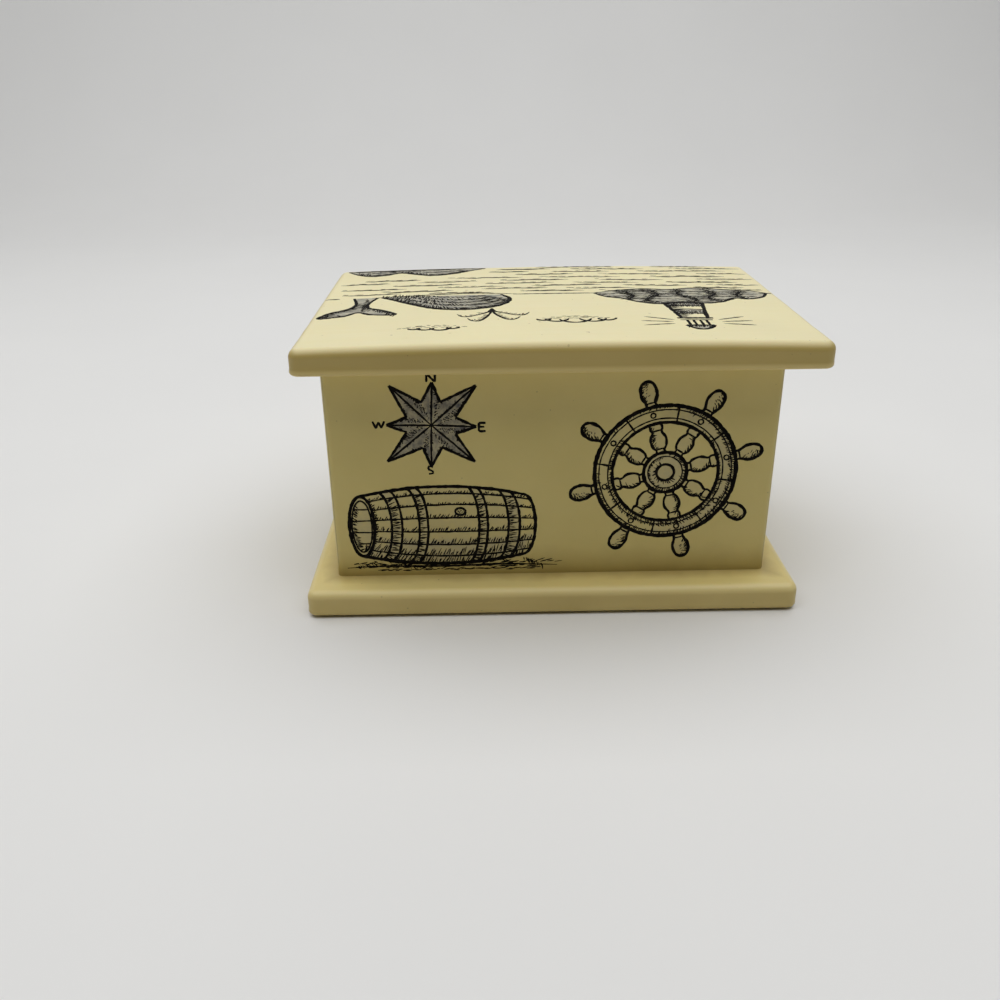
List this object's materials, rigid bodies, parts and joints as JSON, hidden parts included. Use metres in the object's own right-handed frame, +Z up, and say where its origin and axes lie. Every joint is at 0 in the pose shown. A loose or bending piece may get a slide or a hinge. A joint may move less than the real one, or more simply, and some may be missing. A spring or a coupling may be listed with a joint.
{
  "type": "ditty box",
  "caption": "Small ivory-coloured keepsake box: mitred slab walls on a wider base slab, with a crowned lift-off lid and felt linings.",
  "frame": {"origin": "on the table, under the middle of the base slab: the centre of the bounding box's bottom face to within 0.7 mm, because the lid slab sits 1.4 mm to the right", "axes": "+X along the long side, to the right as the engraved front is looked at; +Y from the front to the back; +Z up, the way the lid lifts"},
  "size_m": [0.1154, 0.0824, 0.0647],
  "materials": {
    "ivory_polymer": "polished cream cast polymer, satin gloss",
    "felt": "short-napped dark green felt"
  },
  "bodies": {
    "box": {"base_felt": "felt", "base_slab": "ivory_polymer", "front_wall": "ivory_polymer", "back_wall": "ivory_polymer", "left_wall": "ivory_polymer", "right_wall": "ivory_polymer", "floor_lining": "felt"},
    "lid": {"lid_slab": "ivory_polymer", "lid_locating_plate": "ivory_polymer"}
  },
  "joints": [
    {"name": "lid_lift", "type": "slide", "parent": "box", "child": "lid", "axis": [0, 0, 1], "range_m": [0, 0.06]}
  ]
}
